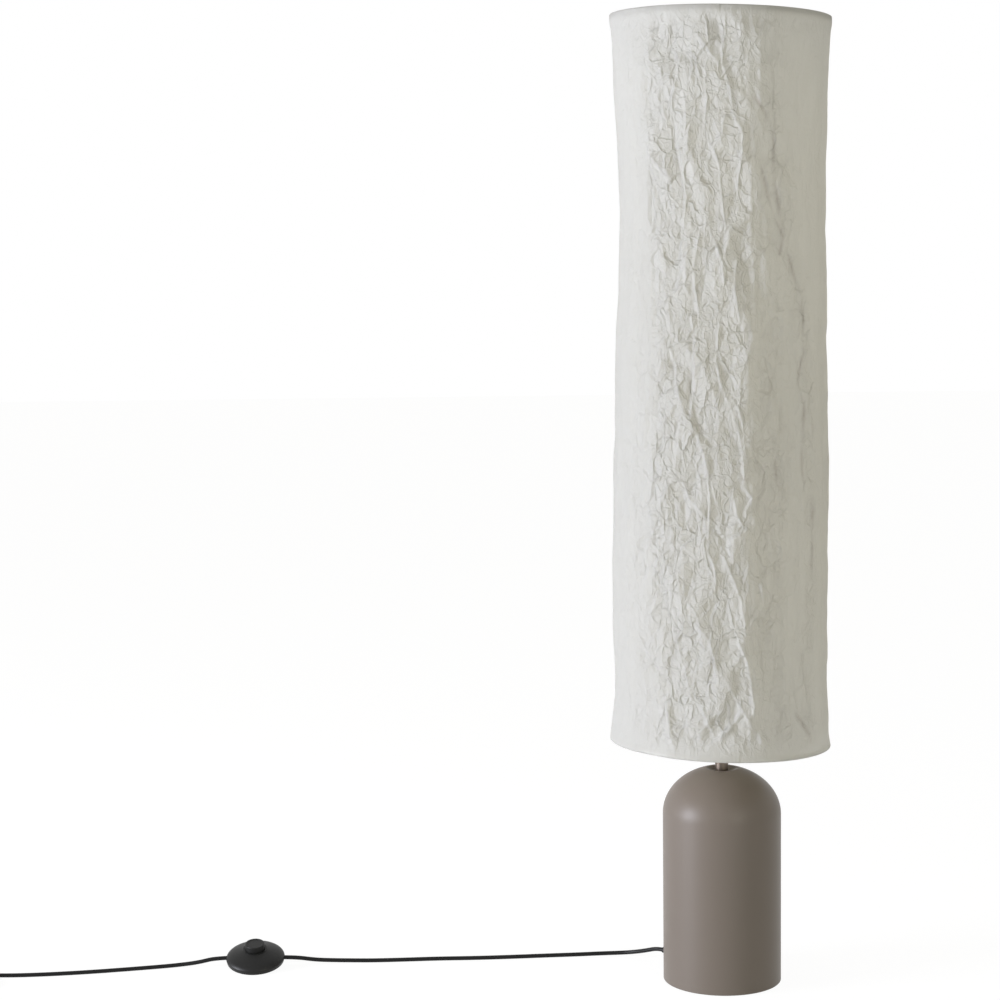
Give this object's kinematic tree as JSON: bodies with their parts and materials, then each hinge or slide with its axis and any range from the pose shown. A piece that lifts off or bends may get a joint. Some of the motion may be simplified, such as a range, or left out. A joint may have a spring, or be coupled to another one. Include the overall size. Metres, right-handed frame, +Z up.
{
  "type": "floor lamp",
  "caption": "Floor lamp with a tall crumpled-paper tube shade on a slim stem, a domed weighted base and a round foot switch on its flex.",
  "frame": {"origin": "centre of the round base, on the floor", "axes": "+Z up along the stem; -Y faces the picture's viewer; the flex leaves towards -X"},
  "size_m": [1.1373, 0.2664, 1.165],
  "materials": {
    "base_paint": "satin taupe powder coat",
    "stem_bronze": "satin bronze-coloured lacquer on steel",
    "cast_iron": "as cast",
    "zinc_steel": "zinc plated",
    "frame_wire": "white powder coat on steel wire",
    "felt": "pressed felt",
    "paper": "crumpled off-white fibre paper",
    "black_plastic": "fine matt texture",
    "flex_sheath": "smooth flexible sheath",
    "core_sheath": "insulated core",
    "brass": "drawn brass",
    "nickel": "nickel plate",
    "spring_steel": "drawn wire",
    "ceramic": "unglazed",
    "bulb_glass": "clear",
    "inner_glass": "pressed glass",
    "filament": "coated strip",
    "pin_sleeve": "smooth"
  },
  "bodies": {
    "lamp": {"felt_pad": "felt", "base_shell": "base_paint", "ballast": "cast_iron", "ballast_stop": "zinc_steel", "flex_clamp": "black_plastic", "clamp_screws": "zinc_steel", "tie_washers": "zinc_steel", "tie_nuts": "zinc_steel", "tie_rod": "zinc_steel", "stem_ring": "stem_bronze", "pole": "stem_bronze", "pole_bushes": "black_plastic", "flex_bush": "black_plastic", "flex_inside": "flex_sheath", "holder_cap": "black_plastic", "holder_skirt": "black_plastic", "holder_insert": "ceramic", "holder_leads": "core_sheath", "screw_shell": "nickel", "centre_contact": "brass", "bulb_tip": "nickel", "bulb_insulator": "black_plastic", "bulb_cap": "nickel", "bulb_glass": "bulb_glass", "bulb_mount": "inner_glass", "bulb_filaments": "filament", "low_ring": "frame_wire", "top_ring": "frame_wire", "low_arms": "frame_wire", "top_arms": "frame_wire", "uprights": "frame_wire", "shade_hub": "frame_wire", "support_collar": "stem_bronze", "support_grub": "zinc_steel", "lock_collar": "stem_bronze", "thumb_screw": "nickel", "shade_paper": "paper", "switch_feet": "black_plastic", "switch_plate": "black_plastic", "switch_cover": "black_plastic", "switch_cover_screws": "zinc_steel", "switch_spring": "spring_steel", "switch_contacts": "brass", "switch_leads": "core_sheath", "switch_clamps": "black_plastic", "switch_clamp_screws": "zinc_steel", "flex_lamp_side": "flex_sheath", "flex_plug_side": "flex_sheath", "flex_coil": "flex_sheath", "coil_tie": "black_plastic", "flex_tail": "flex_sheath", "flex_end": "flex_sheath", "plug_relief": "black_plastic", "plug_body": "black_plastic", "plug_pins": "nickel", "pin_sleeves": "pin_sleeve"},
    "button": {"switch_button": "black_plastic"},
    "rotor": {"switch_rotor": "brass"}
  },
  "joints": [
    {"name": "button_press", "type": "slide", "parent": "lamp", "child": "button", "axis": [0, 0.2419, -0.9703], "range_m": [0, 0.004], "stiffness_N_per_m": 1500, "springref_m": -0.005, "deforming": ["switch_spring"]},
    {"name": "rotor_turn", "type": "hinge", "parent": "lamp", "child": "rotor", "pos_m": [-0.5814, 0.06707, 0.01199], "axis": [0, -0.2419, 0.9703], "range_deg": [0, 22.5]}
  ],
  "couplings": [
    {"joint": "rotor_turn", "follows": "button_press", "rad_per_m": 98.1}
  ]
}
